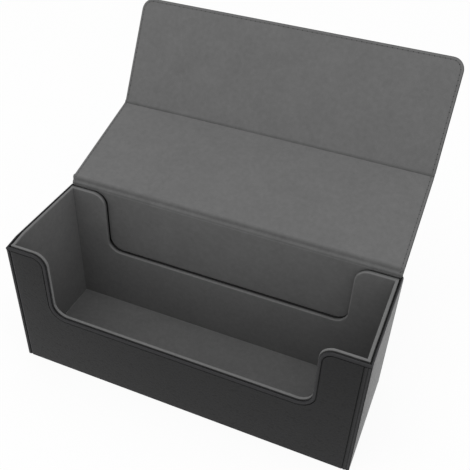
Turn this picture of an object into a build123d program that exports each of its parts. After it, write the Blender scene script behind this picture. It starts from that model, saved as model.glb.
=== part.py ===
from build123d import *
import os
from math import tan, radians

# Card storage box, standing open. Millimetres, +Z up, front towards -Y.
# Origin: on the table, midway along and across the tray.

# Tray, outside sizes
box_length = 304.0
box_depth = 97.0
box_height = 129.0

# Layers of a tray wall, from the outside in. A liner is a board in a microfibre cover.
skin_t = 1.1
wall_board_t = 1.7
side_liner_t = 2.5
front_liner_t = 2.5
rear_liner_t = 3.3
floor_liner_t = 2.4
nap_t = 0.4

# Layers of the cover: rear panel, lid and flap
cover_board_t = 2.0
lining_t = 0.5

# U cut-outs of the front wall and of the back wall
front_ear = 36.3
front_cutout_depth = 66.0
rear_ear = 37.0
rear_cutout_depth = 62.0
cutout_radius = 12.0

# The skin's edge stays below the liner's edge, and the board's edge below the skin's.
# The back wall's edge stays lower still, hidden between the rear liner and the rear panel.
lip_drop = 0.5
back_drop = 3.0
groove_depth = 2.0

# The front wall is a little lower than the end walls, whose tops slope down to it
front_drop = 2.0
slope_run = 14.0

# Soft edges. A rounded edge takes at most this share of the liner's thickness.
liner_round = 1.0
liner_ease = 0.7
round_share = 0.4
skin_round = 0.5
seam_round = 0.8

# Cover outline
lid_overhang = -1.0
hinge_corner = 2.0
fold_corner = 1.0
flap_corner = 11.0
foot_corner = 1.0
lining_inset = 0.3

# Hinge, fold and their room to move
lid_tilt = 17.5
flap_tilt = 61.4
lid_clearance = 0.4
flap_clearance = 3.0
hinge_slack = 3.2
fold_slack = 0.5

# Closure magnets
magnet_r = 7.5
magnet_spread = 70.0
magnet_drop = 18.0
magnet_web = 0.3
magnet_fit = 0.15
flap_tip = 14.2

# Worked out from the sizes above
half_length = box_length / 2
front_y = -box_depth / 2
back_y = box_depth / 2
panel_t = skin_t + cover_board_t + lining_t
cover_half = half_length + lid_overhang

board_x = half_length - skin_t
liner_x = board_x - wall_board_t
inner_x = liner_x - side_liner_t
board_y = front_y + skin_t
liner_y = board_y + wall_board_t
inner_front_y = liner_y + front_liner_t
back_board_y = back_y - skin_t
back_liner_y = back_board_y - wall_board_t
inner_back_y = back_liner_y - rear_liner_t
board_z = skin_t
liner_z = board_z + wall_board_t
inner_z = liner_z + floor_liner_t

front_cutout_floor = box_height - front_cutout_depth
rear_cutout_floor = box_height - rear_cutout_depth
front_height = box_height - front_drop
skin_top = box_height - lip_drop
board_top = skin_top - groove_depth

hinge_y = back_y + panel_t / 2
hinge_z = box_height + lid_clearance + panel_t / 2
lid_gap = panel_t / 2 + hinge_slack
fold_gap = panel_t / 2 + fold_slack
lid_length = hinge_y - front_y + flap_clearance + panel_t / 2
magnet_z = front_cutout_floor - magnet_drop
magnet_reach = hinge_z - magnet_z
flap_length = magnet_reach + flap_tip

rear_plane = Plane.XZ.offset(-hinge_y)
lid_plane = Plane(Location((0, hinge_y, hinge_z), (lid_tilt, 0, 0)))
fold_point = lid_plane.from_local_coords((0, lid_length, 0))
flap_plane = Plane(Location(fold_point, (flap_tilt, 0, 0)))

near = 1e-4


def finish(builder, name):
    """Labels a finished piece and writes its file."""
    builder.part.label = name
    export_step(builder.part, f"parts/{name}.step")


def round_corners(sketch, x, y, radius):
    """Rounds the pair of corners at plus and minus x on the level y."""
    level = sketch.vertices().filter_by(lambda v: abs(v.Y - y) < near)
    fillet(level.filter_by(lambda v: abs(abs(v.X) - x) < near), radius)


def notched_outline(sketch, end_x, bottom, top, ear, cutout_floor, setback=0.0):
    """A wall with a U cut-out, drawn in X and Z. The setback moves its free edge inwards."""
    notch_x = half_length - ear + setback
    floor_z = cutout_floor - setback
    top_z = top - setback
    right = [(end_x, bottom), (end_x, top_z), (notch_x, top_z), (notch_x, floor_z)]
    left = [(-x, z) for x, z in reversed(right)]
    with BuildLine() as outline:
        Polyline(*right, *left, close=True)
    make_face(outline.line)
    round_corners(sketch, notch_x, top_z, cutout_radius - setback)
    round_corners(sketch, notch_x, floor_z, cutout_radius + setback)


def end_wall_outline(start, end, bottom, top):
    """An end wall, drawn in Y and Z, with its top sloping down towards the front."""
    with BuildLine() as outline:
        Polyline(
            (start, bottom), (end, bottom), (end, top), (start + slope_run, top), (start, top - front_drop),
            close=True,
        )
    make_face(outline.line)


def rim_edges(part, end_x, bottom):
    """The edges along the free edge of a notched wall, on both of its faces."""
    inside = part.edges().filter_by(Axis.Y, reverse=True)
    inside = inside.filter_by(lambda e: abs(e.center().X) < end_x - near)
    return inside.filter_by(lambda e: e.center().Z > bottom + near)


def panel_outline(sketch, half, start, end, start_corner, end_corner, inset=0.0):
    """A cover panel from its start edge to its end edge. Corners rounder than the inset stay round."""
    with Locations((0, (start + end) / 2)):
        Rectangle(2 * (half - inset), end - start - 2 * inset)
    if start_corner > inset:
        round_corners(sketch, half - inset, start + inset, start_corner - inset)
    if end_corner > inset:
        round_corners(sketch, half - inset, end - inset, end_corner - inset)


def bent_strip(centre, radius, start_angle, turn, run, half, thickness):
    """A strip of the cover round a fold: an arc in Y and Z, then a straight run."""
    with BuildLine(Plane.YZ) as path:
        bend = CenterArc(centre, radius, start_angle, turn)
        if run > near:
            Line(bend @ 1, bend @ 1 + (bend % 1) * run)
    with BuildSketch(Plane(origin=bend @ 0, x_dir=(1, 0, 0), z_dir=bend % 0)) as section:
        Rectangle(2 * half, thickness)
    sweep(section.sketch, path.line)


os.makedirs("parts", exist_ok=True)

# Bottom: skin under the whole box, greyboard and lined floor inside
with BuildPart() as bottom_skin:
    with BuildSketch():
        with Locations((0, (board_y + back_board_y) / 2)):
            Rectangle(2 * board_x, back_board_y - board_y)
    extrude(amount=skin_t)
finish(bottom_skin, "bottom_skin")

with BuildPart() as floor_board:
    with BuildSketch(Plane.XY.offset(board_z)):
        with Locations((0, (liner_y + back_liner_y) / 2)):
            Rectangle(2 * liner_x, back_liner_y - liner_y)
    extrude(amount=wall_board_t)
finish(floor_board, "floor_board")

for layer, level, thickness in (
    ("board", liner_z, floor_liner_t - nap_t),
    ("cover", inner_z - nap_t, nap_t),
):
    with BuildPart() as floor_layer:
        with BuildSketch(Plane.XY.offset(level)):
            with Locations((0, (inner_front_y + inner_back_y) / 2)):
                Rectangle(2 * inner_x, inner_back_y - inner_front_y)
        extrude(amount=thickness)
    finish(floor_layer, f"floor_liner_{layer}")

# Front and back walls: leatherette skin over greyboard, each with its cut-out.
# The front's edge shows from outside, so it is rounded, and its board holds the magnets.
for wall, outermost, skin_back, board_back, top, ear, cutout_floor, drop in (
    ("front", 0, board_y, liner_y, front_height, front_ear, front_cutout_floor, lip_drop),
    ("back", -1, back_y, back_board_y, box_height, rear_ear, rear_cutout_floor, back_drop),
):
    with BuildPart() as wall_skin:
        with BuildSketch(Plane.XZ.offset(-skin_back)) as wall_face:
            notched_outline(wall_face, half_length, 0, top, ear, cutout_floor, drop)
        extrude(amount=skin_t)
        outer_face = wall_skin.faces().sort_by(Axis.Y)[outermost]
        ends = outer_face.edges().filter_by(Axis.Z).sort_by(Axis.X)
        fillet([ends[0], ends[-1]], seam_round)
        if wall == "front":
            outer_face = wall_skin.faces().sort_by(Axis.Y)[outermost]
            rim = outer_face.edges().filter_by(lambda e: e.center().Z > near)
            fillet(rim.filter_by(lambda e: abs(e.center().X) < board_x - near), skin_round)
    finish(wall_skin, f"{wall}_skin")

    with BuildPart() as wall_board:
        with BuildSketch(Plane.XZ.offset(-board_back)) as wall_face:
            notched_outline(wall_face, board_x, board_z, top, ear, cutout_floor, drop + groove_depth)
        extrude(amount=wall_board_t)
        if wall == "front":
            with BuildSketch(Plane.XZ.offset(-board_y)):
                with Locations((-magnet_spread, magnet_z), (magnet_spread, magnet_z)):
                    Circle(magnet_r + magnet_fit)
            extrude(amount=-(wall_board_t - magnet_web), mode=Mode.SUBTRACT)
    finish(wall_board, f"{wall}_board")

with BuildPart() as front_magnets:
    with BuildSketch(Plane.XZ.offset(-board_y)):
        with Locations((-magnet_spread, magnet_z), (magnet_spread, magnet_z)):
            Circle(magnet_r)
    extrude(amount=-(wall_board_t - magnet_web))
finish(front_magnets, "front_magnets")

# Front and rear liners: the cover's edge is rounded towards the cards and eased behind
for wall, back, thickness, top, ear, cutout_floor, room_side, wall_side in (
    ("front", inner_front_y, front_liner_t, front_height, front_ear, front_cutout_floor, -1, 0),
    ("rear", back_liner_y, rear_liner_t, box_height, rear_ear, rear_cutout_floor, 0, -1),
):
    with BuildPart() as liner_board:
        with BuildSketch(Plane.XZ.offset(nap_t - back)) as wall_face:
            notched_outline(wall_face, liner_x, liner_z, top, ear, cutout_floor, nap_t)
        extrude(amount=thickness - 2 * nap_t)
    finish(liner_board, f"{wall}_liner_board")

    with BuildPart() as liner_cover:
        with BuildSketch(Plane.XZ.offset(-back)) as wall_face:
            notched_outline(wall_face, liner_x, liner_z, top, ear, cutout_floor)
        extrude(amount=thickness)
        behind = rim_edges(liner_cover, liner_x, liner_z).group_by(Axis.Y)[wall_side]
        chamfer(behind, min(liner_ease, round_share * thickness))
        towards_cards = rim_edges(liner_cover, liner_x, liner_z).group_by(Axis.Y)[room_side]
        fillet(towards_cards, min(liner_round, round_share * thickness))
        add(liner_board.part, mode=Mode.SUBTRACT)
    finish(liner_cover, f"{wall}_liner_cover")

# End walls, left and right alike
for side, sign, outermost in (("left", -1, 0), ("right", 1, -1)):
    with BuildPart() as side_skin:
        with BuildSketch(Plane.YZ.offset(sign * board_x)):
            end_wall_outline(board_y, back_board_y, 0, skin_top)
        extrude(amount=sign * skin_t)
        outer_face = side_skin.faces().sort_by(Axis.X)[outermost]
        fillet(outer_face.edges().filter_by(Axis.Z), seam_round)
        outer_face = side_skin.faces().sort_by(Axis.X)[outermost]
        fillet(outer_face.edges().sort_by(Axis.Z)[-2:], skin_round)
    finish(side_skin, f"{side}_skin")

    with BuildPart() as side_board:
        with BuildSketch(Plane.YZ.offset(sign * liner_x)):
            end_wall_outline(liner_y, back_liner_y, board_z, board_top)
        extrude(amount=sign * wall_board_t)
    finish(side_board, f"{side}_board")

    with BuildPart() as liner_board:
        with BuildSketch(Plane.YZ.offset(sign * (inner_x + nap_t))):
            end_wall_outline(inner_front_y, inner_back_y, liner_z, box_height - nap_t)
        extrude(amount=sign * (side_liner_t - 2 * nap_t))
    finish(liner_board, f"{side}_liner_board")

    with BuildPart() as liner_cover:
        with BuildSketch(Plane.YZ.offset(sign * inner_x)):
            end_wall_outline(inner_front_y, inner_back_y, liner_z, box_height)
        extrude(amount=sign * side_liner_t)
        top_edges = liner_cover.edges().filter_by(lambda e: e.center().Z > front_height + near)
        fillet(top_edges.filter_by(Axis.X, reverse=True), min(liner_round, round_share * side_liner_t))
        add(liner_board.part, mode=Mode.SUBTRACT)
    finish(liner_cover, f"{side}_liner_cover")

# Cover panels: a skin that wraps the board's edges, the board in it, a lining over both
cover_panels = (
    ("rear", rear_plane, half_length, 0.0, box_height, foot_corner, hinge_corner),
    ("lid", lid_plane, cover_half, lid_gap, lid_length - fold_gap, hinge_corner, fold_corner),
    ("flap", flap_plane, cover_half, fold_gap, flap_length, fold_corner, flap_corner),
)
for name, plane, *outline in cover_panels:
    board_level = skin_t - panel_t / 2
    lining_level = board_level + cover_board_t

    with BuildPart() as cover_skin:
        with BuildSketch(plane.offset(-panel_t / 2)) as panel_face:
            panel_outline(panel_face, *outline)
        extrude(amount=skin_t + cover_board_t)
        outer_face = cover_skin.faces().sort_by(Axis((0, 0, 0), plane.z_dir))[0]
        fillet(outer_face.edges(), skin_round)
        with BuildSketch(plane.offset(board_level)) as panel_face:
            panel_outline(panel_face, *outline, inset=skin_t)
        extrude(amount=cover_board_t, mode=Mode.SUBTRACT)
    finish(cover_skin, f"{name}_skin")

    with BuildPart() as cover_board:
        with BuildSketch(plane.offset(board_level)) as panel_face:
            panel_outline(panel_face, *outline, inset=skin_t)
        extrude(amount=cover_board_t)
        if name == "flap":
            with BuildSketch(plane.offset(lining_level)):
                with Locations((-magnet_spread, magnet_reach), (magnet_spread, magnet_reach)):
                    Circle(magnet_r + magnet_fit)
            extrude(amount=-(cover_board_t - magnet_web), mode=Mode.SUBTRACT)
    finish(cover_board, f"{name}_board")

    with BuildPart() as cover_lining:
        with BuildSketch(plane.offset(lining_level)) as panel_face:
            panel_outline(panel_face, *outline, inset=lining_inset)
        extrude(amount=lining_t)
    finish(cover_lining, f"{name}_lining")

with BuildPart() as flap_magnets:
    with BuildSketch(flap_plane.offset(panel_t / 2 - lining_t)):
        with Locations((-magnet_spread, magnet_reach), (magnet_spread, magnet_reach)):
            Circle(magnet_r)
    extrude(amount=-(cover_board_t - magnet_web))
finish(flap_magnets, "flap_magnets")

# Soft hinge from the rear panel's top edge to the lid: the skin on the inside of the bend
skin_offset = (panel_t - skin_t) / 2
lining_offset = (panel_t - lining_t) / 2
hinge_turn = 90 - lid_tilt
hinge_rise = hinge_z - box_height
hinge_radius = hinge_rise / tan(radians(hinge_turn / 2))
hinge_centre = (hinge_y + hinge_radius, box_height)
hinge_run = lid_gap - hinge_rise
hinge_half = cover_half - hinge_corner

with BuildPart() as lid_hinge_skin:
    bent_strip(hinge_centre, hinge_radius - skin_offset, 180, -hinge_turn, hinge_run, hinge_half, skin_t)
finish(lid_hinge_skin, "lid_hinge_skin")

with BuildPart() as lid_hinge_lining:
    bent_strip(
        hinge_centre, hinge_radius + lining_offset, 180, -hinge_turn, hinge_run, hinge_half, lining_t
    )
finish(lid_hinge_lining, "lid_hinge_lining")

# Crease from the lid to the flap: the lining on the inside of the bend
fold_turn = flap_tilt - lid_tilt
fold_radius = fold_gap / tan(radians(fold_turn / 2))
fold_centre_point = lid_plane.from_local_coords((0, lid_length - fold_gap, fold_radius))
fold_centre = (fold_centre_point.Y, fold_centre_point.Z)
fold_start = lid_tilt - 90
fold_half = cover_half - fold_corner

with BuildPart() as flap_hinge_skin:
    bent_strip(fold_centre, fold_radius + skin_offset, fold_start, fold_turn, 0, fold_half, skin_t)
finish(flap_hinge_skin, "flap_hinge_skin")

with BuildPart() as flap_hinge_lining:
    bent_strip(fold_centre, fold_radius - lining_offset, fold_start, fold_turn, 0, fold_half, lining_t)
finish(flap_hinge_lining, "flap_hinge_lining")
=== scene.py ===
"""Open card storage box: leatherette over board, microfibre linings, a soft hinge and a sewn cover."""
from math import cos, hypot, pi, radians, sin, tan

import bmesh
import bpy
from mathutils import Matrix, Vector
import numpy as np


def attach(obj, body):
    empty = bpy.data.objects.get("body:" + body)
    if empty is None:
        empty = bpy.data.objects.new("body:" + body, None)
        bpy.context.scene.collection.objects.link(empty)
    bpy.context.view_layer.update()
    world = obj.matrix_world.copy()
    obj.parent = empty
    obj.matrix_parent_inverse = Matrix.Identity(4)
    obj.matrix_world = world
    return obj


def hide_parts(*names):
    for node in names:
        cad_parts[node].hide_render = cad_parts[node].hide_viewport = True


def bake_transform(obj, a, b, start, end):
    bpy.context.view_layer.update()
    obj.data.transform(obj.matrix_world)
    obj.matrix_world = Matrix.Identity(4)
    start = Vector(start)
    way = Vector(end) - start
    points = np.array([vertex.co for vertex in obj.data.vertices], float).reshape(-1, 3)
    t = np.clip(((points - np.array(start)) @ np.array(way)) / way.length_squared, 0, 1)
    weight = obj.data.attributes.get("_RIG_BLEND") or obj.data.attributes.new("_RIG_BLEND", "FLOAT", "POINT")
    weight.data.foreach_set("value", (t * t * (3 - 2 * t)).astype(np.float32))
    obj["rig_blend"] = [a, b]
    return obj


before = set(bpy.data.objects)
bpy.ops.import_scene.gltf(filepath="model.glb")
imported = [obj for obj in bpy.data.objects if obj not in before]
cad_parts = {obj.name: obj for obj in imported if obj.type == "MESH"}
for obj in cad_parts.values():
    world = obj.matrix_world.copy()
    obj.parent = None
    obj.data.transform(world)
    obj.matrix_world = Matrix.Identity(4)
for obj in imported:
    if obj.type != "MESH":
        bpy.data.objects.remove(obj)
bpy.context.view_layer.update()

X, Y, Z = Vector((1, 0, 0)), Vector((0, 1, 0)), Vector((0, 0, 1))

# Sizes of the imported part, in millimetres; meshes are drawn in them and scaled to metres at the end
METRE = 0.001
HALF_LENGTH = 152.0
FRONT_Y = -48.5
BACK_Y = 48.5
BOX_HEIGHT = 129.0
SKIN_T = 1.1
WALL_BOARD_T = 1.7
SIDE_LINER_T = 2.5
FRONT_LINER_T = 2.5
REAR_LINER_T = 3.3
FLOOR_LINER_T = 2.4
NAP_T = 0.4
PANEL_T = 3.6
LINING_T = 0.5
FRONT_NOTCH_X = 115.7
REAR_NOTCH_X = 115.0
FRONT_NOTCH_Z = 63.0
REAR_NOTCH_Z = 67.0
NOTCH_ROUND = 12.0
LIP_DROP = 0.5
FRONT_DROP = 2.0
SLOPE_RUN = 14.0
COVER_HALF = 151.0
FLAP_CORNER = 11.0
LID_TILT = radians(17.5)
FLAP_TILT = radians(61.4)
LID_GAP = 5.0
FOLD_GAP = 2.3
LID_LENGTH = 103.6
FLAP_LENGTH = 100.4
HINGE_Y = 50.3
HINGE_Z = 131.2

WALL_LAYERS = SKIN_T + WALL_BOARD_T
LINER_X = HALF_LENGTH - WALL_LAYERS
LINER_Z = WALL_LAYERS
INNER_X = LINER_X - SIDE_LINER_T
LINER_FRONT_Y = FRONT_Y + WALL_LAYERS
LINER_BACK_Y = BACK_Y - WALL_LAYERS
INNER_FRONT_Y = LINER_FRONT_Y + FRONT_LINER_T
INNER_BACK_Y = LINER_BACK_Y - REAR_LINER_T
FRONT_TOP = BOX_HEIGHT - FRONT_DROP
SKIN_TOP = BOX_HEIGHT - LIP_DROP
ALONG_LID = Vector((0, cos(LID_TILT), sin(LID_TILT)))
ALONG_FLAP = Vector((0, cos(FLAP_TILT), sin(FLAP_TILT)))
LID_NORMAL = Vector((0, -sin(LID_TILT), cos(LID_TILT)))
FLAP_NORMAL = Vector((0, -sin(FLAP_TILT), cos(FLAP_TILT)))
HINGE = Vector((0, HINGE_Y, HINGE_Z))
FOLD = HINGE + ALONG_LID * LID_LENGTH

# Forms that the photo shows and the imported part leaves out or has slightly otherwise: rolled rims, the
# back wall's lower rim, eased edges, the rear panel's upper corners and the sewn line
ROLL_R = 0.95
ROLL_FLAT = 0.15
ROLL_T = 2 * ROLL_R + ROLL_FLAT
BACK_DROP = 1.2
BACK_SETBACK = 0.3
LINER_EDGE_R = 0.6
COVER_EDGE_R = 0.9
HINGE_CORNER = 4.0
SEWN_INSET = 2.6
SEWN_X = COVER_HALF - SEWN_INSET
# Painted shade: how much darker the cloth inside the tray is drawn, and the floor's cloth and the rear
# panel's lining darker still
LINER_PAINTED_SHADE = -0.28
REAR_PAINTED_SHADE = -0.40

# How far a sheet was cut beyond its panel, to be turned in at an edge
WALL_TURN_IN = 4.0
BACK_TURN_IN = 1.0
LINER_TURN_IN = 6.0
FLOOR_TURN_IN = 4.0
COVER_TURN_IN = 4.0

# A panel is drawn this far past an end that is then cut off
BEYOND = 25.0
# A point this near to a line or plane lies on it
CLOSE = 0.02
# Faces that meet at less than this angle are shaded as one
SMOOTH_UNDER = radians(42)


class Amount:
    """A number that changes over a surface. Arithmetic with it adds Math nodes to its tree."""

    def __init__(self, shading, socket):
        self.shading = shading
        self.socket = socket

    def _maths(self, operation, first, second):
        return self.shading.node("ShaderNodeMath", {"operation": operation}, {0: first, 1: second})

    def __add__(self, other):
        return self._maths("ADD", self, other)

    def __sub__(self, other):
        return self._maths("SUBTRACT", self, other)

    def __rsub__(self, other):
        return self._maths("SUBTRACT", other, self)

    def __mul__(self, other):
        return self._maths("MULTIPLY", self, other)

    __radd__ = __add__
    __rmul__ = __mul__


class Shading:
    """The nodes of a material or of the world, under construction."""

    def __init__(self, owner):
        owner.use_nodes = True
        self.tree = owner.node_tree

    def node(self, kind, settings, sockets, output=0):
        """Adds one node; settings first, then the values or links of its sockets."""
        node = self.tree.nodes.new(kind)
        for key, value in settings.items():
            setattr(node, key, value)
        for key, value in sockets.items():
            if isinstance(value, Amount):
                self.tree.links.new(value.socket, node.inputs[key])
            else:
                node.inputs[key].default_value = value
        return Amount(self, node.outputs[output]) if node.outputs else None


class Finish(Shading):
    """A material of the box: a Principled shader and the nodes that feed it."""

    def __init__(self, name, constants):
        self.material = bpy.data.materials.new(name)
        super().__init__(self.material)
        self.shader = self.tree.nodes["Principled BSDF"]
        for socket, value in constants.items():
            self.shader.inputs[socket].default_value = value
        self.place = self.node("ShaderNodeTexCoord", {}, {}, "Object")

    def noise(self, per_metre, detail, distortion=0.0):
        sockets = {"Vector": self.place, "Scale": per_metre, "Detail": detail, "Distortion": distortion}
        return self.node("ShaderNodeTexNoise", {}, sockets, "Fac")

    def cells(self, per_metre):
        sockets = {"Vector": self.place, "Scale": per_metre}
        return self.node("ShaderNodeTexVoronoi", {"feature": "F1"}, sockets, "Distance")

    def drawn(self, name):
        """A value stored on the mesh's points."""
        return self.node("ShaderNodeAttribute", {"attribute_name": name}, {}, "Fac")

    def colour(self, share, dark, light):
        """Mixes two colours into the base colour; the Mix node's sockets go by number."""
        settings = {"data_type": "RGBA", "clamp_factor": True}
        sockets = {0: share, 6: (*dark, 1), 7: (*light, 1)}
        self.feed("Base Color", self.node("ShaderNodeMix", settings, sockets, 2))

    def relief(self, height, strength, distance):
        sockets = {"Strength": strength, "Distance": distance, "Height": height}
        self.feed("Normal", self.node("ShaderNodeBump", {}, sockets))

    def feed(self, socket, amount):
        self.tree.links.new(amount.socket, self.shader.inputs[socket])


def grey(level):
    return (level,) * 3


def leatherette():
    """Dark coated cloth with a fine pebble grain, paler on worn ridges, where a highlight is painted too,
    and darker in creases by painted shade.
    """
    finish = Finish("leatherette", {"Specular IOR Level": 0.165})
    pebble = finish.cells(per_metre=640.0)
    pores = finish.noise(per_metre=3200.0, detail=2.0)
    cloud = finish.noise(per_metre=30.0, detail=3.0)
    height = (1.0 - pebble * pebble) * 0.75 + pores * 0.25
    share = 0.173 + (cloud - 0.5) * 0.10 + (height - 0.6) * 0.10 + finish.drawn("tone") * 0.0933
    finish.colour(share, dark=grey(0.0), light=(0.0450, 0.0450, 0.0477))
    finish.feed("Roughness", 0.48 - height * 0.20 + cloud * 0.05)
    finish.relief(height, strength=0.7, distance=0.00012)
    return finish.material


def microfibre():
    """Grey suede cloth: brushed patches, a short nap and single fibres."""
    constants = {"Specular IOR Level": 0.12, "Sheen Weight": 0.12, "Sheen Roughness": 0.5}
    finish = Finish("microfibre", constants)
    brushed = finish.noise(per_metre=38.0, detail=4.0, distortion=0.8)
    nap_and_shade = finish.noise(per_metre=240.0, detail=3.0)
    fibre = finish.noise(per_metre=2600.0, detail=2.0)
    share = 0.5 + (brushed - 0.5) * 0.09 + (nap_and_shade - 0.5) * 0.13 + (fibre - 0.5) * 0.22
    # The drawn tone paints shade and highlight into the cloth's colour
    share = share + finish.drawn("tone") * 0.17
    finish.colour(share, dark=grey(0.0), light=grey(0.275))
    finish.feed("Roughness", 0.86 + fibre * 0.12)
    finish.relief(fibre * 0.6 + nap_and_shade * 0.4, strength=0.35, distance=0.0003)
    return finish.material


def thread():
    """Grey sewing thread with its twist."""
    finish = Finish("thread", {"Specular IOR Level": 0.25})
    twist = finish.noise(per_metre=4200.0, detail=1.0)
    finish.colour(0.3 + twist * 0.6, dark=grey(0.060), light=grey(0.125))
    finish.feed("Roughness", 0.62 + twist * 0.2)
    finish.relief(twist, strength=0.4, distance=0.0001)
    return finish.material


def needle_hole_shade():
    """Painted shade for the pricked holes between stitches: dark beads where the holes' shade falls."""
    finish = Finish("needle_hole_shade", {"Specular IOR Level": 0.1})
    rough = finish.noise(per_metre=3000.0, detail=1.0)
    finish.colour(rough, dark=grey(0.010), light=grey(0.022))
    finish.feed("Roughness", 0.8 + rough * 0.15)
    return finish.material


def greyboard():
    """Recycled board with flecks and short fibres."""
    finish = Finish("greyboard", {"Specular IOR Level": 0.2})
    fleck = finish.noise(per_metre=900.0, detail=4.0)
    fibre = finish.noise(per_metre=120.0, detail=5.0, distortion=1.5)
    finish.colour(fleck * 0.6 + fibre * 0.4, dark=(0.20, 0.19, 0.175), light=(0.32, 0.31, 0.29))
    finish.feed("Roughness", 0.85 + fleck * 0.1)
    finish.relief(fleck, strength=0.3, distance=0.0002)
    return finish.material


def steel():
    """Nickel-plated magnet discs with fine scuffs."""
    finish = Finish("magnet_steel", {"Metallic": 1.0})
    scuff = finish.noise(per_metre=1500.0, detail=5.0, distortion=2.0)
    finish.colour(scuff, dark=(0.48, 0.48, 0.49), light=(0.62, 0.62, 0.63))
    finish.feed("Roughness", 0.25 + scuff * 0.2)
    return finish.material


LEATHER = leatherette()
CLOTH = microfibre()
THREAD = thread()
HOLE_SHADE = needle_hole_shade()


def facing(origin, along, up):
    """Local axes of a panel: x along it, y up it, z out of it."""
    return Matrix.Translation(origin) @ Matrix((along, up, along.cross(up))).transposed().to_4x4()


FRONT_OUT = facing((0, FRONT_Y + ROLL_R + ROLL_FLAT, 0), X, Z)
BACK_OUT = facing((0, BACK_Y - ROLL_R - ROLL_FLAT, 0), -X, Z)
LEFT_OUT = facing((-HALF_LENGTH + ROLL_R + ROLL_FLAT, 0, 0), -Y, Z)
RIGHT_OUT = facing((HALF_LENGTH - ROLL_R - ROLL_FLAT, 0, 0), Y, Z)
ON_REAR = facing((0, HINGE_Y, 0), X, Z)
ON_LID = facing(HINGE, X, ALONG_LID)
ON_FLAP = facing(FOLD, X, ALONG_FLAP)


def toned():
    """An empty mesh whose points carry a tone: above 0 paler than the material, below 0 darker."""
    bm = bmesh.new()
    bm.verts.layers.float.new("tone")
    return bm


def tone_of(bm):
    return bm.verts.layers.float["tone"]


def rounded(radius, tone=0.0, segments=4):
    """Inset steps that turn a flat face's edge into a quarter round."""
    turns = [pi / 2 * i / segments for i in range(segments + 1)]
    return [
        (radius * (cos(a) - cos(b)), radius * (sin(b) - sin(a)), tone)
        for a, b in zip(turns, turns[1:])
    ]


def graded(steps, tones):
    """The same inset steps with a tone for each."""
    return [(inset, rise, tone) for (inset, rise, _), tone in zip(steps, tones)]


def outline(corners):
    """A flat face through corners given as x, y and radius."""
    bm = toned()
    points = [bm.verts.new((x, y, 0)) for x, y, _ in corners]
    bm.faces.new(points)
    for point, (_, _, radius) in zip(points, corners):
        if radius:
            bmesh.ops.bevel(
                bm, geom=[point], offset=radius, offset_type="OFFSET", segments=10, profile=0.5,
                affect="VERTICES", material=-1, clamp_overlap=False,
            )
    return bm


def slab(corners, thickness, top, bottom, edge_tones=(0.0, 0.0)):
    """A panel with its outline drawn at z = 0, thickened upwards, both faces finished by inset steps.

    A step is how far the edge moves in, how far the face rises, and the tone left on its new edge.
    The edge tones are those of the upper and the lower rim of the panel's side."""
    bm = outline(corners)
    tone = tone_of(bm)
    lower = bm.faces[:][0]
    grown = bmesh.ops.extrude_face_region(bm, geom=[lower], use_keep_orig=True)["geom"]
    upper = next(g for g in grown if isinstance(g, bmesh.types.BMFace))
    bmesh.ops.translate(bm, vec=(0, 0, thickness), verts=list(upper.verts))
    bm.normal_update()
    if lower.normal.z > 0:
        lower.normal_flip()
    if upper.normal.z < 0:
        upper.normal_flip()
    bm.normal_update()
    for face, steps, rim in ((upper, top, edge_tones[0]), (lower, bottom, edge_tones[1])):
        for point in face.verts:
            point[tone] = rim
        for inset, rise, shade in steps:
            bmesh.ops.inset_individual(
                bm, faces=[face], thickness=inset, depth=rise, use_even_offset=True,
            )
            for point in face.verts:
                point[tone] = shade
    bmesh.ops.recalc_face_normals(bm, faces=bm.faces[:])
    return bm


def turn(bm, matrix):
    """Moves a drawn panel to its place on the box."""
    bmesh.ops.transform(bm, matrix=matrix, verts=bm.verts[:])
    return bm


def everything(bm):
    return bm.verts[:] + bm.edges[:] + bm.faces[:]


def edges_of(geometry):
    return [g for g in geometry if isinstance(g, bmesh.types.BMEdge)]


def trim(bm, point, away):
    """Cuts off what lies beyond a plane and closes the cut."""
    made = bmesh.ops.bisect_plane(
        bm, geom=everything(bm), plane_co=point, plane_no=away, clear_outer=True,
    )
    bmesh.ops.holes_fill(bm, edges=edges_of(made["geom_cut"]), sides=0)


def score(bm, point, across):
    """Adds a line of points across a panel without parting it."""
    bmesh.ops.bisect_plane(bm, geom=everything(bm), plane_co=point, plane_no=across)


def notched(half, bottom, top, notch_x, notch_z, setback):
    """Corners of a wall with a U cut-out; the setback moves its free edge inwards."""
    right = [
        (half, bottom, 0),
        (half, top - setback, 0),
        (notch_x + setback, top - setback, NOTCH_ROUND - setback),
        (notch_x + setback, notch_z - setback, NOTCH_ROUND + setback),
    ]
    return right + [(-x, y, radius) for x, y, radius in reversed(right)]


def block(half, low, high, low_corner=0.0, high_corner=0.0):
    """Corners of a plain panel."""
    return [
        (-half, low, low_corner), (half, low, low_corner),
        (half, high, high_corner), (-half, high, high_corner),
    ]


def end_wall(front, back, low, high, beyond=0.0):
    """Corners of an end wall whose top slopes down to the front wall, whichever way that lies."""
    way = 1 if back > front else -1
    corners = [
        (front - way * beyond, low, 0), (back + way * beyond, low, 0), (back + way * beyond, high, 0),
        (front + way * SLOPE_RUN, high, 0),
        (front - way * beyond, high - FRONT_DROP * (1 + beyond / SLOPE_RUN), 0),
    ]
    return corners[::way]


def piece(name, bm, materials, nodes=()):
    """Makes the finished mesh in metres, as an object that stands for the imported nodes."""
    bmesh.ops.recalc_face_normals(bm, faces=bm.faces[:])
    bmesh.ops.scale(bm, vec=(METRE,) * 3, verts=bm.verts[:])
    mesh = bpy.data.meshes.new(name)
    bm.to_mesh(mesh)
    bm.free()
    for material in materials:
        mesh.materials.append(material)
    mesh.shade_smooth()
    mesh.set_sharp_from_angle(angle=SMOOTH_UNDER)
    made = bpy.data.objects.new(name, mesh)
    bpy.context.scene.collection.objects.link(made)
    if nodes:
        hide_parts(*nodes)
    return made


def leather_piece(name, bm, node):
    return piece(name, bm, [LEATHER], [node])


def cloth_piece(name, bm, node):
    return piece(name, bm, [CLOTH], [node])


def thread_piece(name, bm):
    return piece(name, bm, [THREAD, HOLE_SHADE])


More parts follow.
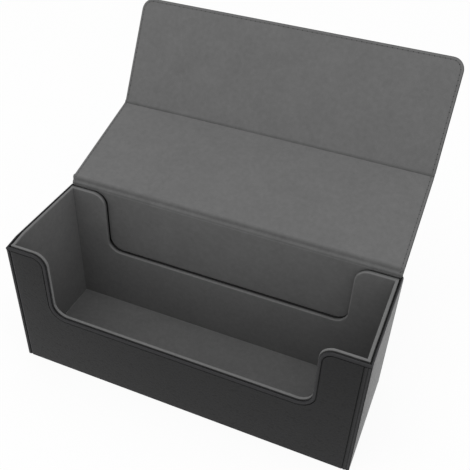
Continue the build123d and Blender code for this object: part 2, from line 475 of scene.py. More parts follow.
def cut_sheet(made, width, length, rests_on, area=None, strips=()):
    """Works out a glued sheet's flat size in metres, and its area if given, from millimetres; the strips
    that go on from it are not used.
    """
    area = None if area is None else area * METRE * METRE
    flat = (width * METRE, length * METRE)


# Tray, outside. A wall's leatherette has a rolled rim, a crease pressed below it, and a turn-in behind
# that lines the groove between wall and liner. Painted shade darkens the crease and runs down into the
# groove;
# a painted highlight lightens the band above the crease and the roll's inner crest.
GROOVE_PLAY = 0.05
GROOVE_W = WALL_LAYERS - ROLL_T - GROOVE_PLAY
PRESSED = [(1.6, 0.0, 0.8), (0.2, -0.8, -1.4), (0.3, 0.0, -1.4), (0.3, 0.72, 0.0), (0.8, 0.0, 0.0)]
RIM_INSIDE = graded(rounded(ROLL_R), (1.0, 0.0, -0.8, -0.8)) + [
    (1.0, 0.0, -1.0), (0.0, GROOVE_W, -1.4), (0.4, 0.0, -1.4),
    (0.0, SKIN_T - ROLL_T - GROOVE_W, 0.0),
]
# Tones of the rims, worn pale and paler still by a painted highlight; of their side towards the liner, also
# wear and a painted highlight; and the painted shade over the whole back wall
FRONT_WEAR_AND_HIGHLIGHT = 4.0
WEAR_AND_HIGHLIGHT = 6.5
RIM_BEHIND = 1.5
BACK_SHADE = -1.4

# The seams pressed upright near the ends of the front: distance from the corner, depth, and tone: painted
# shade in the dips, painted highlight on the ridges
LEFT_SEAM = (
    (1.0, 0.0, 1.0), (2.4, 0.0, 1.0), (2.8, 0.65, -1.2), (3.1, 0.65, -1.2), (3.4, 0.42, 4.0),
    (4.3, 0.05, 4.0), (4.9, 0.0, 0.0),
)
RIGHT_SEAM = (
    (0.15, 0.05, 1.0), (0.4, 0.30, -0.5), (0.7, 0.35, -0.5), (1.0, 0.28, 4.0), (1.5, 0.05, 4.5),
    (2.0, 0.0, 4.0), (2.3, 0.10, 1.0), (2.6, 0.50, -0.8), (2.9, 0.50, -0.8), (3.3, 0.40, 2.0),
    (3.9, 0.10, 2.0), (4.5, 0.0, 1.0), (5.3, 0.02, 0.0), (5.5, 0.60, -1.2), (5.8, 0.60, -1.2),
    (6.1, 0.0, 0.0),
)
# They stop this far below the rolled edge, and are pressed into what lies this near to the front
SEAM_STOP = 3.0
SEAM_SKIN = 0.3

# The real front cut-out lies off centre, which leaves its right ear wider by this much
RIGHT_EAR_WIDER = 2.6

# Rounding of the box's upright corners, and the shortest edge that counts as one
CORNER_EASE = 0.45
CORNER_RUN = 20.0

# The bottom's eased edge, the flat strip inside it and the edge's tone
BOTTOM_EASE = 0.3
BOTTOM_MARGIN = 0.8
BOTTOM_TONE = 0.2


def wall_leather(corners, matrix, cuts, wear_and_highlight):
    """A wall's leatherette, cut level with the table and cut off where it meets its neighbours."""
    # The rolled rim's pale tone is wear with a painted highlight
    bm = slab(corners, ROLL_FLAT, rounded(ROLL_R, wear_and_highlight) + PRESSED, RIM_INSIDE, (wear_and_highlight, RIM_BEHIND))
    turn(bm, matrix)
    trim(bm, (0, 0, 0), -Z)
    for point, away in cuts:
        trim(bm, point, away)
    return bm


def front_mitre(sign, of_front):
    """The slanting cut at a front corner of the box, seen from the front wall or from the end wall."""
    away = Vector((sign, 1, 0)).normalized()
    return Vector((sign * HALF_LENGTH, FRONT_Y, 0)), away if of_front else -away


def press_front_seams(bm):
    """Presses the upright seams into the front wall, below its rolled edge."""
    tone = tone_of(bm)
    lines = [(HALF_LENGTH - inwards, depth, shade) for inwards, depth, shade in RIGHT_SEAM]
    lines += [(inwards - HALF_LENGTH, depth, shade) for inwards, depth, shade in LEFT_SEAM]
    for x, _, _ in lines:
        score(bm, (x, 0, 0), X)
    below_edge = [
        point for point in bm.verts
        if point.co.z < FRONT_TOP - LIP_DROP - SEAM_STOP and point.co.y < FRONT_Y + SEAM_SKIN
    ]
    for x, depth, shade in lines:
        for point in below_edge:
            if abs(point.co.x - x) < CLOSE:
                point.co.y += depth
                point[tone] = shade


def widen_right_ear(bm):
    """Moves the right side of the front cut-out inwards, with its rounded corners."""
    side = [point for point in bm.verts if abs(point.co.x - FRONT_NOTCH_X) < 2 * NOTCH_ROUND]
    bmesh.ops.translate(bm, vec=-X * RIGHT_EAR_WIDER, verts=side)


def shade_all(bm, shade):
    """Gives every point of a piece the same tone."""
    tone = tone_of(bm)
    for point in bm.verts:
        point[tone] = shade


def soften_corner(bm):
    """Rounds the outer upright edges a little, which leaves the seam at each corner."""
    upright = [
        e for e in bm.edges
        if all(hypot(abs(v.co.x) - HALF_LENGTH, abs(v.co.y) - BACK_Y) < CORNER_EASE for v in e.verts)
        and abs(e.verts[0].co.z - e.verts[1].co.z) > CORNER_RUN
    ]
    bmesh.ops.bevel(
        bm, geom=upright, offset=CORNER_EASE, offset_type="OFFSET", segments=3, profile=0.5,
        affect="EDGES", material=-1,
    )


between_ends = HALF_LENGTH - ROLL_T
wide, low = HALF_LENGTH + BEYOND, -BEYOND
front_flat = (2 * HALF_LENGTH, FRONT_TOP + WALL_TURN_IN)
back_flat = (2 * between_ends, BOX_HEIGHT + BACK_TURN_IN)
side_flat = (2 * BACK_Y, SKIN_TOP + WALL_TURN_IN)
front_area = front_flat[0] * front_flat[1] - 2 * FRONT_NOTCH_X * (FRONT_TOP - FRONT_NOTCH_Z)
back_area = back_flat[0] * back_flat[1] - 2 * REAR_NOTCH_X * (BOX_HEIGHT - REAR_NOTCH_Z)
back_top = BOX_HEIGHT - BACK_DROP + BACK_SETBACK
tray_walls = (
    (
        "front", FRONT_OUT, notched(wide, low, FRONT_TOP, FRONT_NOTCH_X, FRONT_NOTCH_Z, LIP_DROP),
        [front_mitre(-1, True), front_mitre(1, True)], front_flat, front_area,
    ),
    (
        "back", BACK_OUT, notched(wide, low, back_top, REAR_NOTCH_X, REAR_NOTCH_Z, BACK_SETBACK),
        [(-X * between_ends, -X), (X * between_ends, X)], back_flat, back_area,
    ),
    (
        "left", LEFT_OUT, end_wall(BACK_Y, FRONT_Y, low, SKIN_TOP, BEYOND),
        [front_mitre(-1, False), (Y * BACK_Y, Y)], side_flat, None,
    ),
    (
        "right", RIGHT_OUT, end_wall(FRONT_Y, BACK_Y, low, SKIN_TOP, BEYOND),
        [front_mitre(1, False), (Y * BACK_Y, Y)], side_flat, None,
    ),
)
for name, matrix, corners, cuts, flat, area in tray_walls:
    bm = wall_leather(corners, matrix, cuts, FRONT_WEAR_AND_HIGHLIGHT if name == "front" else WEAR_AND_HIGHLIGHT)
    if name == "front":
        widen_right_ear(bm)
        press_front_seams(bm)
    elif name == "back":
        # Painted shade over the whole back wall's leatherette
        shade_all(bm, BACK_SHADE)
    soften_corner(bm)
    made = leather_piece(f"{name}_wall_leather", bm, f"{name}_skin")
    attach(made, "tray")
    cut_sheet(made, *flat, [f"{name}_board"], area)

bottom_margin = [(BOTTOM_MARGIN, 0.0, 0.0)]
bm = slab(
    block(HALF_LENGTH - SKIN_T, FRONT_Y + SKIN_T, BACK_Y - SKIN_T), SKIN_T - BOTTOM_EASE,
    [(BOTTOM_EASE, 0.0, 0.0)] + bottom_margin,
    rounded(BOTTOM_EASE, BOTTOM_TONE, segments=3) + bottom_margin,
)
turn(bm, Matrix.Translation((0, 0, BOTTOM_EASE)))
made = leather_piece("bottom_leather", bm, "bottom_skin")
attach(made, "tray")
cut_sheet(made, 2 * (HALF_LENGTH - SKIN_T), 2 * (BACK_Y - SKIN_T), ["floor_board"])

# Tray, inside. A liner's tones: the two rims of its side and then the steps of the rounding behind, the
# rounding towards the cards, and what lies in a joint or behind the board. All are painted light: a
# highlight on the rims and on the rounding towards the cards, and shade down the rounding behind, deepest
# in the joints and behind the board; the rear liner's edge gets painted shade from its second rim on.
PALE_EDGE = (0.35, 0.25, 0.0, -0.7, -2.0)
DARK_EDGE = (0.10, -1.5, -1.9, -2.2, -2.4)
LINER_RIM_HIGHLIGHT = 0.4
DEEP_SHADE = -2.0
# Distance from a liner's edge to the pocket that holds its board, and the margins of its face
POCKET_INSET = 5.0
FACE_MARGINS = (0.6, 1.2)
# Painted shade on the rear cut-out's left side: darker by this much, apart from its rounded ends
LEFT_SIDE_SHADE = -0.5
LEFT_SIDE_WIDTH = 1.0
LEFT_SIDE_ENDS = 8.0
# The side liners' ends, and the painted shade in their joints, which stops this far below the rim
SIDE_LINER_FRONT = INNER_FRONT_Y - LINER_EDGE_R
SIDE_LINER_BACK = INNER_BACK_Y + LINER_EDGE_R
JOINT_DEPTH = 4.0
JOINT_WIDTH = LINER_EDGE_R + 0.1


def liner(corners, matrix, thickness, nap_and_shade, edge=PALE_EDGE):
    """A board's microfibre cover: eased rims, flat towards the cards, the board's pocket behind."""
    face = rounded(LINER_EDGE_R, LINER_RIM_HIGHLIGHT, segments=3)
    # The face towards the cards carries the painted shade
    face += [(margin, 0.0, nap_and_shade) for margin in FACE_MARGINS]
    behind = graded(rounded(LINER_EDGE_R, segments=3), edge[2:])
    pocket = [(POCKET_INSET, 0.0, DEEP_SHADE), (0.0, NAP_T - thickness, 0.0)]
    bm = slab(corners, thickness - 2 * LINER_EDGE_R, face, behind + pocket, edge[:2])
    return turn(bm, matrix @ Matrix.Translation((0, 0, LINER_EDGE_R)))


def shade_left_side(bm):
    """Paints shade on the left side of the rear liner's cut-out."""
    tone = tone_of(bm)
    for point in bm.verts:
        beside = abs(point.co.x + REAR_NOTCH_X) < LEFT_SIDE_WIDTH
        if beside and REAR_NOTCH_Z + LEFT_SIDE_ENDS < point.co.z < BOX_HEIGHT - LEFT_SIDE_ENDS:
            point[tone] += LEFT_SIDE_SHADE


def shade_joints(bm):
    """Paints shade on a side liner's upright ends, where it butts against the front and rear liners."""
    tone = tone_of(bm)
    score(bm, (0, 0, BOX_HEIGHT - JOINT_DEPTH), Z)
    for point in bm.verts:
        beside = min(point.co.y - SIDE_LINER_FRONT, SIDE_LINER_BACK - point.co.y) < JOINT_WIDTH
        if beside and point.co.z < BOX_HEIGHT - JOINT_DEPTH + CLOSE:
            point[tone] = DEEP_SHADE


long_liners = (
    (
        "front", facing((0, LINER_FRONT_Y, 0), -X, Z),
        FRONT_LINER_T, FRONT_TOP, FRONT_NOTCH_X, FRONT_NOTCH_Z,
    ),
    (
        "rear", facing((0, LINER_BACK_Y, 0), X, Z),
        REAR_LINER_T, BOX_HEIGHT, REAR_NOTCH_X, REAR_NOTCH_Z,
    ),
)
for name, matrix, thickness, top, notch_x, notch_z in long_liners:
    corners = notched(LINER_X, LINER_Z, top, notch_x, notch_z, 0.0)
    bm = liner(corners, matrix, thickness, LINER_PAINTED_SHADE, DARK_EDGE if name == "rear" else PALE_EDGE)
    if name == "front":
        widen_right_ear(bm)
    else:
        shade_left_side(bm)
    made = cloth_piece(f"{name}_liner_cloth", bm, f"{name}_liner_cover")
    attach(made, "tray")
    width, length = 2 * LINER_X + 2 * LINER_TURN_IN, top - LINER_Z + 2 * LINER_TURN_IN
    area = width * length - 2 * notch_x * (top - notch_z)
    cut_sheet(made, width, length, [f"{name}_liner_board"], area)

side_liners = (
    ("left", facing((-LINER_X, 0, 0), Y, Z), -1),
    ("right", facing((LINER_X, 0, 0), -Y, Z), 1),
)
for name, matrix, side in side_liners:
    corners = end_wall(-side * SIDE_LINER_FRONT, -side * SIDE_LINER_BACK, LINER_Z, BOX_HEIGHT)
    bm = liner(corners, matrix, SIDE_LINER_T, LINER_PAINTED_SHADE)
    shade_joints(bm)
    made = cloth_piece(f"{name}_liner_cloth", bm, f"{name}_liner_cover")
    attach(made, "tray")
    width = SIDE_LINER_BACK - SIDE_LINER_FRONT + 2 * LINER_TURN_IN
    length = BOX_HEIGHT - LINER_Z + 2 * LINER_TURN_IN
    cut_sheet(made, width, length, [f"{name}_liner_board"])

corners = block(INNER_X, INNER_FRONT_Y, INNER_BACK_Y)
bm = liner(corners, facing((0, 0, LINER_Z), X, Y), FLOOR_LINER_T, REAR_PAINTED_SHADE)
made = cloth_piece("floor_liner_cloth", bm, "floor_liner_cover")
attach(made, "tray")
width, length = 2 * INNER_X + 2 * FLOOR_TURN_IN, INNER_BACK_Y - INNER_FRONT_Y + 2 * FLOOR_TURN_IN
cut_sheet(made, width, length, ["floor_liner_board"])

# Cover panels: leatherette round each board's edge, a lining glued over it, a groove under the sewing
GROOVE_HALF = 0.5
GROOVE_DEPTH = 0.18
# Painted shade in the sewn groove
GROOVE_SHADE = -0.35
SEWN_GROOVE = [
    (0.6, 0.0, 0.0), (GROOVE_HALF, -GROOVE_DEPTH, GROOVE_SHADE), (GROOVE_HALF, GROOVE_DEPTH, 0.0),
    (0.7, 0.0, 0.0),
]
TO_GROOVE = SEWN_GROOVE[0][0] + GROOVE_HALF
# The flat strip inside an edge that isn't sewn all round, and behind the lining
PLAIN_MARGIN = 0.6
LINING_MARGIN = 1.0
# Tones of the leatherette's edges, outside and inside, paler by wear and a painted highlight, and of the
# lining's, paler by a painted highlight
OUTSIDE_RIM = 0.3
INSIDE_RIM = 0.25
LINING_RIM = 0.15
LINING_EDGE_R = 0.4
LINING_INSET = 0.5
REAR_LINING_INSET = 0.3

# The hinge's strips bend between their edges on the outside of the rear panel and of the lid
hinge_start = Vector((0, HINGE_Y + PANEL_T / 2, BOX_HEIGHT))
hinge_way = (HINGE + ALONG_LID * LID_GAP - Vector((0, HINGE_Y, BOX_HEIGHT))).normalized()
hinge_reach = (HINGE + ALONG_LID * LID_GAP - LID_NORMAL * PANEL_T / 2 - hinge_start).dot(hinge_way)
hinge_end = hinge_start + hinge_way * hinge_reach

# The real lid isn't quite square: its left end runs out at the hinge by this much, which starts this far
# from the middle of the box
SPLAY = 2.0
SPLAY_FROM = 100.0


def cover_leather(corners, sewn):
    """Leatherette of one cover panel, outside face down, with the board's pocket on the lining side."""
    depth, edge = PANEL_T - LINING_T, COVER_EDGE_R
    outside = rounded(edge, OUTSIDE_RIM)
    if sewn:
        outside += [(SEWN_INSET - TO_GROOVE - edge, 0.0, 0.0)] + SEWN_GROOVE
    else:
        outside += [(PLAIN_MARGIN, 0.0, 0.0)]
    inside = rounded(edge, INSIDE_RIM) + [(SKIN_T - edge, 0.0, 0.0), (0.0, SKIN_T - depth, 0.0)]
    bm = slab(corners, depth - 2 * edge, inside, outside)
    return turn(bm, Matrix.Translation((0, 0, edge - PANEL_T / 2)))


def cover_lining(corners, inset, sewn, nap_and_shade):
    """The lining of one cover panel, with its edge eased down onto the leatherette."""
    edge = LINING_EDGE_R
    face = rounded(edge, LINING_RIM, segments=3)
    if sewn:
        face += [(SEWN_INSET - inset - edge - TO_GROOVE, 0.0, 0.0)] + SEWN_GROOVE
    else:
        # A lining's broad face carries its painted shade
        face += [(PLAIN_MARGIN, 0.0, nap_and_shade)]
    bm = slab(corners, LINING_T - edge, face, [(LINING_MARGIN, 0.0, 0.0)])
    return turn(bm, Matrix.Translation((0, 0, PANEL_T / 2 - LINING_T)))


def sew_down_ends(bm):
    """Presses the sewn line along the lid's two ends, from the hinge edge to the fold."""
    tone = tone_of(bm)
    for x in (-SEWN_X, SEWN_X):
        for off in (-GROOVE_HALF, 0.0, GROOVE_HALF):
            score(bm, (x + off, 0, 0), X)
        for point in bm.verts:
            if abs(point.co.x - x) < CLOSE and abs(point.co.z) > PANEL_T / 2 - CLOSE:
                point.co.z -= GROOVE_DEPTH if point.co.z > 0 else -GROOVE_DEPTH
                point[tone] = GROOVE_SHADE


def splay(bm):
    """Runs the lid's left end out towards the hinge, and the hinge strip's back in to the tray."""
    for point in bm.verts:
        near_end = max((-point.co.x - SPLAY_FROM) / (COVER_HALF - SPLAY_FROM), 0)
        over_strip = min(max((point.co - hinge_start).dot(hinge_way) / hinge_reach, 0), 1)
        from_fold = 1 - max((point.co - HINGE).dot(ALONG_LID), 0) / LID_LENGTH
        point.co.x -= SPLAY * near_end * sin(pi / 2 * over_strip) * from_fold
    return bm


# Name, place, body, corners, the lining's inset and painted shade, the cut at the fold, and the sheet's
# length
cover_panels = (
    (
        "rear", ON_REAR, "tray", block(HALF_LENGTH, 0.0, BOX_HEIGHT, 0.0, HINGE_CORNER),
        REAR_LINING_INSET, REAR_PAINTED_SHADE, None, BOX_HEIGHT,
    ),
    (
        "lid", ON_LID, "lid", block(COVER_HALF, LID_GAP, LID_LENGTH + BEYOND),
        LINING_INSET, 0.0, (Y * (LID_LENGTH - FOLD_GAP), Y), LID_LENGTH - FOLD_GAP - LID_GAP,
    ),
    (
        "flap", ON_FLAP, "flap", block(COVER_HALF, -BEYOND, FLAP_LENGTH, 0.0, FLAP_CORNER),
        LINING_INSET, 0.0, (Y * FOLD_GAP, -Y), FLAP_LENGTH - FOLD_GAP,
    ),
)
cover_sheets = {}
for name, matrix, body, corners, inset, nap_and_shade, fold_cut, reach in cover_panels:
    sewn = name == "flap"
    inner = [(x - inset * (1 if x > 0 else -1), y, max(radius - inset, 0)) for x, y, radius in corners]
    if name == "flap":
        inner = [(x, y - inset if y == FLAP_LENGTH else y, radius) for x, y, radius in inner]
    leather = cover_leather(corners, sewn)
    lining = cover_lining(inner, inset, sewn, nap_and_shade)
    for bm in (leather, lining):
        if name == "lid":
            sew_down_ends(bm)
        if fold_cut:
            trim(bm, *fold_cut)
        turn(bm, matrix)
        if name == "lid":
            splay(bm)
    long_side = 2 * corners[1][0]
    made = leather_piece(f"{name}_leather", leather, f"{name}_skin")
    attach(made, body)
    cover_sheets[name, "leather"] = (made, long_side + 2 * COVER_TURN_IN, reach + 2 * COVER_TURN_IN)
    made = cloth_piece(f"{name}_lining_cloth", lining, f"{name}_lining")
    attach(made, body)
    cover_sheets[name, "cloth"] = (made, long_side - 2 * inset, reach)

# Soft strips. Their leatherette is turned over at its two ends: width of the turn, ease of its edge,
# and how far it reaches into the lining.
TURNED_END = 1.5
END_EASE = 0.5
END_HOLD = 0.1


def draw_out(bm, line, way, parts):
    """Draws a line of edges out straight, in even parts."""
    for _ in range(parts):
        grown = bmesh.ops.extrude_edge_only(bm, edges=line)["geom"]
        points = [g for g in grown if isinstance(g, bmesh.types.BMVert)]
        bmesh.ops.translate(bm, vec=way / parts, verts=points)
        line = edges_of(grown)


def ribbon(half, centre, start, angle, run, cuts, steps):
    """A bent strip: a line across the box turned about a centre in Y and Z, then drawn out straight."""
    bm = toned()
    ends = [bm.verts.new((x, start[0], start[1])) for x in (-half, half)]
    line = bm.edges.new(ends)
    bmesh.ops.subdivide_edges(bm, edges=[line], cuts=cuts)
    made = bmesh.ops.spin(
        bm, geom=bm.verts[:] + bm.edges[:], cent=(0, *centre), axis=X, angle=angle, steps=steps,
    )
    if run:
        draw_out(bm, edges_of(made["geom_last"]), *run)
    bmesh.ops.remove_doubles(bm, verts=bm.verts[:], dist=0.001)
    return bm


def thicken(bm, thickness, outwards):
    """Turns a strip's faces the given way and gives it its thickness behind them."""
    bmesh.ops.recalc_face_normals(bm, faces=bm.faces[:])
    bm.normal_update()
    middle = sum((f.normal for f in bm.faces), Vector())
    if middle.dot(outwards) < 0:
        bmesh.ops.reverse_faces(bm, faces=bm.faces[:])
    bmesh.ops.solidify(bm, geom=bm.faces[:], thickness=thickness)


def turn_over_ends(bm, half, outwards, to_lining):
    """Thickens a strip's leatherette, and closes its two ends up to the lining."""
    for side in (-1, 1):
        score(bm, X * side * (half - TURNED_END), X)
    outer = set(bm.verts)
    thicken(bm, SKIN_T, outwards)
    for point in bm.verts:
        if point not in outer and abs(point.co.x) > half - TURNED_END - CLOSE:
            way, gap = to_lining(point)
            point.co += way * (gap + END_HOLD)
        elif point in outer and abs(point.co.x) > half - CLOSE:
            point.co.x -= END_EASE * (1 if point.co.x > 0 else -1)


# Soft hinge: the lining sags into the gap between the rear panel and the lid
HINGE_SAG = 1.6
SAG_START = 1.6
# Painted shade along the sag, and at its foot the rear lining's painted shade
SAG_SHADE = -0.9
FOOT_SHADE = 1.2 * REAR_PAINTED_SHADE
# Wrinkles towards the lining's right end: depth, where they start, how soon they are full, their wave
# along the box and the slow drift of that wave
WRINKLE = 0.28
WRINKLES_FROM = 70.0
WRINKLES_GROW = 60.0
WRINKLE_WAVE = 0.83
WRINKLE_DRIFT = 2.2
DRIFT_WAVE = 0.11
# The hinge's leatherette runs on over the panels' eased edges
OVERLAP = 0.85
# Parts of the straight run beyond the hinge's bend
RUN_PARTS = 6
hinge_turn = pi / 2 - LID_TILT
hinge_rise = HINGE_Z - BOX_HEIGHT
hinge_r = hinge_rise / tan(hinge_turn / 2)
hinge_centre = (HINGE_Y + hinge_r, BOX_HEIGHT)
hinge_run = LID_GAP - hinge_rise
strip_r = hinge_r + PANEL_T / 2
skin_r = hinge_r - PANEL_T / 2


def bend_at_hinge(made):
    """Lets a strip turn from the tray to the lid."""
    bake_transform(made, "tray", "lid", start=hinge_start * METRE, end=hinge_end * METRE)


def on_hinge(point):
    """The way from the hinge's leatherette to its lining, and how far up the lining a point is."""
    from_centre = Vector((0, point.co.y - hinge_centre[0], point.co.z - hinge_centre[1]))
    along_run = (point.co - HINGE).dot(ALONG_LID) - hinge_rise
    if along_run < 0:
        return from_centre.normalized(), strip_r * from_centre.angle(-Y)
    return LID_NORMAL, strip_r * hinge_turn + along_run


def sag_share(travelled):
    """How far through its sag the hinge's lining is, at a distance up from the rear panel."""
    return min(max((travelled - SAG_START) / (strip_r * hinge_turn + hinge_run - SAG_START), 0), 1)


def lining_depth(x, travelled):
    """Depth of the hinge's lining below its smooth bend: its sag, and wrinkles near the right end."""
    share = sag_share(travelled)
    near_end = min(max((x - WRINKLES_FROM) / WRINKLES_GROW, 0), 1)
    wave = cos(x * WRINKLE_WAVE + WRINKLE_DRIFT * sin(x * DRIFT_WAVE))
    return HINGE_SAG * sin(pi * share) ** 2 + WRINKLE * near_end * sin(pi * share) * wave


def to_hinge_lining(point):
    """The way from the hinge's leatherette to its lining, and the gap between them."""
    way, travelled = on_hinge(point)
    return way, PANEL_T - SKIN_T - LINING_T - lining_depth(point.co.x, travelled)


bm = ribbon(
    COVER_HALF, hinge_centre, (hinge_centre[0] - strip_r, BOX_HEIGHT), -hinge_turn,
    (ALONG_LID * hinge_run, RUN_PARTS), cuts=120, steps=14,
)
tone = tone_of(bm)
for point in bm.verts:
    outwards, travelled = on_hinge(point)
    share = sag_share(travelled)
    point.co -= outwards * lining_depth(point.co.x, travelled)
    # Painted shade: the rear lining's at the foot, and more along the sag
    point[tone] = FOOT_SHADE * (1 - share) + SAG_SHADE * sin(pi * share) ** 2
thicken(bm, LINING_T, Z - Y)
made = cloth_piece("lid_hinge_cloth", splay(bm), "lid_hinge_lining")
bend_at_hinge(made)
strips = {"cloth": [made]}

bm = ribbon(
    COVER_HALF, hinge_centre, (hinge_centre[0] - skin_r, BOX_HEIGHT), -hinge_turn,
    (ALONG_LID * (hinge_run + OVERLAP), RUN_PARTS), cuts=60, steps=10,
)
lowest = [e for e in bm.edges if all(abs(v.co.z - BOX_HEIGHT) < CLOSE for v in e.verts)]
draw_out(bm, lowest, -Z * OVERLAP, 1)
turn_over_ends(bm, COVER_HALF, Y - Z, to_hinge_lining)
made = leather_piece("lid_hinge_leather", splay(bm), "lid_hinge_skin")
bend_at_hinge(made)
strips["leather"] = [made]

# Crease between lid and flap: the lining is pressed into the fold, nearer to the lid than to the flap,
# and nearest towards the ends of the box; painted shade darkens the crease, more towards the ends
FOLD_SAG = 1.0
CREASE_AT = 0.36
CREASE_BOW = 0.20
CREASE_SHARPNESS = 1.4
CREASE_SHADE = -0.70
CREASE_END_SHADE = -0.55
fold_turn = FLAP_TILT - LID_TILT
fold_r = FOLD_GAP / tan(fold_turn / 2)
fold_from = HINGE + ALONG_LID * (LID_LENGTH - FOLD_GAP)
fold_centre = fold_from + LID_NORMAL * fold_r
# Both strips bend between the lining's two edges
fold_start = fold_from + LID_NORMAL * PANEL_T / 2
fold_end = FOLD + ALONG_FLAP * FOLD_GAP + FLAP_NORMAL * PANEL_T / 2


def in_fold(point):
    """The way out of the fold at a point, and how far its lining is pressed in there, from 0 to 1."""
    outwards = Vector((0, point.co.y - fold_centre.y, point.co.z - fold_centre.z)).normalized()
    share = outwards.angle(-LID_NORMAL) / fold_turn
    crease = CREASE_AT - CREASE_BOW * (point.co.x / COVER_HALF) ** 2
    side = crease if share < crease else 1 - crease
    return outwards, max(1 - abs(share - crease) / side, 0) ** CREASE_SHARPNESS


def to_fold_lining(point):
    """The way from the fold's leatherette to its lining, and the gap between them."""
    outwards, pressed = in_fold(point)
    return -outwards, PANEL_T - SKIN_T - LINING_T - FOLD_SAG * pressed


def fold_strip(half, radius):
    """A smooth strip across the fold at a distance from its centre."""
    start = fold_centre - LID_NORMAL * radius
    return ribbon(half, fold_centre.yz, start.yz, fold_turn, None, cuts=60, steps=12)


def bend_at_fold(made):
    """Lets a strip turn from the lid to the flap."""
    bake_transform(made, "lid", "flap", start=fold_start * METRE, end=fold_end * METRE)


bm = fold_strip(COVER_HALF - LINING_INSET, fold_r - PANEL_T / 2)
tone = tone_of(bm)
for point in bm.verts:
    outwards, pressed = in_fold(point)
    point.co += outwards * FOLD_SAG * pressed
    point[tone] = (CREASE_SHADE + CREASE_END_SHADE * (point.co.x / COVER_HALF) ** 2) * pressed
thicken(bm, LINING_T, LID_NORMAL)
made = cloth_piece("flap_hinge_cloth", bm, "flap_hinge_lining")
bend_at_fold(made)
strips["cloth"].append(made)

bm = fold_strip(COVER_HALF, fold_r + PANEL_T / 2)
turn_over_ends(bm, COVER_HALF, -LID_NORMAL, to_fold_lining)
made = leather_piece("flap_hinge_leather", bm, "flap_hinge_skin")
bend_at_fold(made)
strips["leather"].append(made)

for (name, kind), (made, width, length) in cover_sheets.items():
    cut_sheet(made, width, length, [f"{name}_board"], strips=strips[kind] if name == "lid" else ())

# Sewing: stitches by turns with needle holes, whose darkness is painted shade; each is a bead given by half
# its length, width and height
STITCH_PITCH = 4.5
STITCH_HALF = (1.65, 0.38, 0.24)
HOLE_HALF = (0.55, 0.45, 0.12)
HINGE_BEADS = 4
# How far the beads lie in the surface
SUNK = 0.10
SUNK_IN_HINGE = 0.05
CORNER_PARTS = 12


def quarter(centre, radius, first):
    """Points of a quarter turn, anticlockwise from an angle."""
    turns = [first + pi / 2 * i / CORNER_PARTS for i in range(CORNER_PARTS + 1)]
    return [(centre[0] + radius * cos(a), centre[1] + radius * sin(a)) for a in turns]


def paced(path, pitch):
    """Places and headings at even paces along a line of points."""
    places, left = [], pitch / 2
    for (x0, y0), (x1, y1) in zip(path, path[1:]):
        length = hypot(x1 - x0, y1 - y0)
        heading = Vector((x1 - x0, y1 - y0)).angle_signed(Vector((1, 0)))
        while left <= length:
            share = left / length
            places.append((x0 + (x1 - x0) * share, y0 + (y1 - y0) * share, heading))
            left += pitch
        left -= length
    return places


def bead(half, rings, material):
    """One stitch or needle hole as a small closed mesh, to be set again and again along a row."""
    bm = bmesh.new()
    bmesh.ops.create_uvsphere(
        bm, u_segments=8, v_segments=rings, radius=1.0, matrix=Matrix.Diagonal((*half, 1.0)),
    )
    for face in bm.faces:
        face.material_index = material
    mesh = bpy.data.meshes.new("bead")
    bm.to_mesh(mesh)
    bm.free()
    return mesh


beads = (bead(STITCH_HALF, rings=5, material=0), bead(HOLE_HALF, rings=4, material=1))


def set_bead(bm, count, matrix):
    """Adds a stitch to a row, or a hole where the count is odd."""
    one = beads[count % 2].copy()
    one.transform(matrix)
    bm.from_mesh(one)
    bpy.data.meshes.remove(one)


def sew(rows, matrix):
    """Stitches on both faces of a panel, with the needle holes between them."""
    bm = bmesh.new()
    for row in rows:
        length = sum(hypot(b[0] - a[0], b[1] - a[1]) for a, b in zip(row, row[1:]))
        stitches = round(length / STITCH_PITCH)
        for i, (x, y, heading) in enumerate(paced(row, length / (2 * stitches))):
            for level in (PANEL_T / 2 - SUNK, SUNK - PANEL_T / 2):
                place = Matrix.Translation((x, y, level)) @ Matrix.Rotation(heading, 4, "Z")
                set_bead(bm, i, matrix @ place)
    return bm


def sew_over_hinge():
    """The lid's two rows carried on over the hinge's lining, down to the rear panel."""
    bm = bmesh.new()
    bend = strip_r * hinge_turn
    for i in range(HINGE_BEADS):
        travelled = (i + 0.5) * (bend + hinge_run) / HINGE_BEADS
        turned = min(travelled / strip_r, hinge_turn)
        heading = Vector((0, sin(turned), cos(turned)))
        inwards = Vector((0, cos(turned), -sin(turned)))
        place = Vector((0, *hinge_centre)) - inwards * strip_r + heading * max(travelled - bend, 0)
        for x in (-SEWN_X, SEWN_X):
            surface = place + inwards * (lining_depth(x, travelled) + SUNK_IN_HINGE)
            set_bead(bm, i, facing(surface + X * x, heading, X))
    return bm


made = thread_piece("hinge_stitching", splay(sew_over_hinge()))
bend_at_hinge(made)

right_row = [(SEWN_X, LID_GAP), (SEWN_X, LID_LENGTH - FOLD_GAP)]
left_row = [(-x, y) for x, y in right_row]
made = thread_piece("lid_stitching", splay(sew([right_row, left_row], ON_LID)))
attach(made, "lid")

bend_r = FLAP_CORNER - SEWN_INSET
bend_x, bend_y = COVER_HALF - FLAP_CORNER, FLAP_LENGTH - FLAP_CORNER
flap_row = [(SEWN_X, FOLD_GAP)] + quarter((bend_x, bend_y), bend_r, 0.0)
flap_row += quarter((-bend_x, bend_y), bend_r, pi / 2) + [(-SEWN_X, FOLD_GAP)]
made = thread_piece("flap_stitching", sew([flap_row], ON_FLAP))
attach(made, "flap")

for mesh in beads:
    bpy.data.meshes.remove(mesh)

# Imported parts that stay: boards and magnets
BOARD, STEEL = greyboard(), steel()
for name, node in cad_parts.items():
    kept = BOARD if name.endswith("_board") else STEEL if name.endswith("_magnets") else None
    if kept:
        for place in node.material_slots:
            place.material = kept

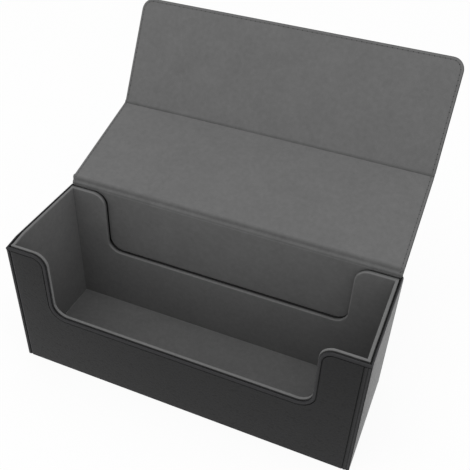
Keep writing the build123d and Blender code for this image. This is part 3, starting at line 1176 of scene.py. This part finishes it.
# White studio, in metres: a pale floor with a faint shadow, an even dome, one large soft lamp above
WHITE = (1, 1, 1, 1)
FLOOR_R = 4.0
FLOOR_COLOUR = (0.93, 0.93, 0.93, 1)
# How much of the floor that is looked at is plain white, the rest being lit
FLOOR_WHITE = 0.92
DOME_STRENGTH = 0.79
LAMP_SIZE = (1.6, 1.2)
LAMP_POWER = 7.2
LAMP_AT = Vector((0.1, -0.35, 1.5))
LAMP_TO = Vector((0, 0.05, 0.1))

# The photo's viewpoint, with its slight roll
LENS = 54.117
SENSOR = 36.0
CAMERA_AT = Vector((0.177312, -0.386304, 0.497769))
CAMERA_WAY = Vector((-0.28202522, 0.72671581, -0.62637521))
CAMERA_ROLL = radians(2.417)


def placed(name, data):
    """An object of the studio."""
    made = bpy.data.objects.new(name, data)
    bpy.context.scene.collection.objects.link(made)
    return made


def seen_white(owner, output, lighting, white, share=1.0):
    """Shows white to the camera and in gloss and glass, while every other ray meets the lighting."""
    shading = Shading(owner)
    shading.tree.nodes.clear()
    direct = 0.0
    for kind in ("Camera", "Glossy", "Transmission"):
        ray = shading.node("ShaderNodeLightPath", {}, {}, f"Is {kind} Ray")
        direct = shading.node("ShaderNodeMath", {"operation": "MAXIMUM"}, {0: direct, 1: ray})
    shaders = {0: direct * share, 1: shading.node(*lighting), 2: shading.node(*white)}
    shading.node(output, {}, {"Surface": shading.node("ShaderNodeMixShader", {}, shaders)})


def stage_and_light():
    """The white studio round the box."""
    scene = bpy.context.scene
    bm = bmesh.new()
    bmesh.ops.create_circle(bm, cap_ends=True, radius=FLOOR_R, segments=64)
    mesh = bpy.data.meshes.new("floor")
    bm.to_mesh(mesh)
    bm.free()
    placed("floor", mesh)

    paper = bpy.data.materials.new("floor_paper")
    lit = ("ShaderNodeBsdfDiffuse", {}, {"Color": FLOOR_COLOUR})
    glow = ("ShaderNodeEmission", {}, {"Color": WHITE})
    seen_white(paper, "ShaderNodeOutputMaterial", lit, glow, FLOOR_WHITE)
    mesh.materials.append(paper)

    scene.world = bpy.data.worlds.new("studio")
    dome = ("ShaderNodeBackground", {}, {"Color": WHITE, "Strength": DOME_STRENGTH})
    backdrop = ("ShaderNodeBackground", {}, {"Color": WHITE})
    seen_white(scene.world, "ShaderNodeOutputWorld", dome, backdrop)

    lamp = bpy.data.lights.new("overhead", "AREA")
    lamp.shape = "RECTANGLE"
    lamp.size, lamp.size_y = LAMP_SIZE
    lamp.energy = LAMP_POWER
    light = placed("overhead", lamp)
    light.location = LAMP_AT
    light.rotation_euler = (LAMP_TO - LAMP_AT).to_track_quat("-Z", "Y").to_euler()
    scene.view_settings.view_transform = "Standard"


def photo_camera():
    """The camera that the photo was taken with, as fitted to it."""
    lens = bpy.data.cameras.new("photo_camera")
    lens.lens = LENS
    lens.sensor_width = SENSOR
    camera = placed("photo_camera", lens)
    aim = CAMERA_WAY.to_track_quat("-Z", "Y").to_matrix().to_4x4()
    camera.matrix_world = Matrix.Translation(CAMERA_AT) @ aim @ Matrix.Rotation(CAMERA_ROLL, 4, "Z")
    bpy.context.scene.camera = camera


stage_and_light()
photo_camera()
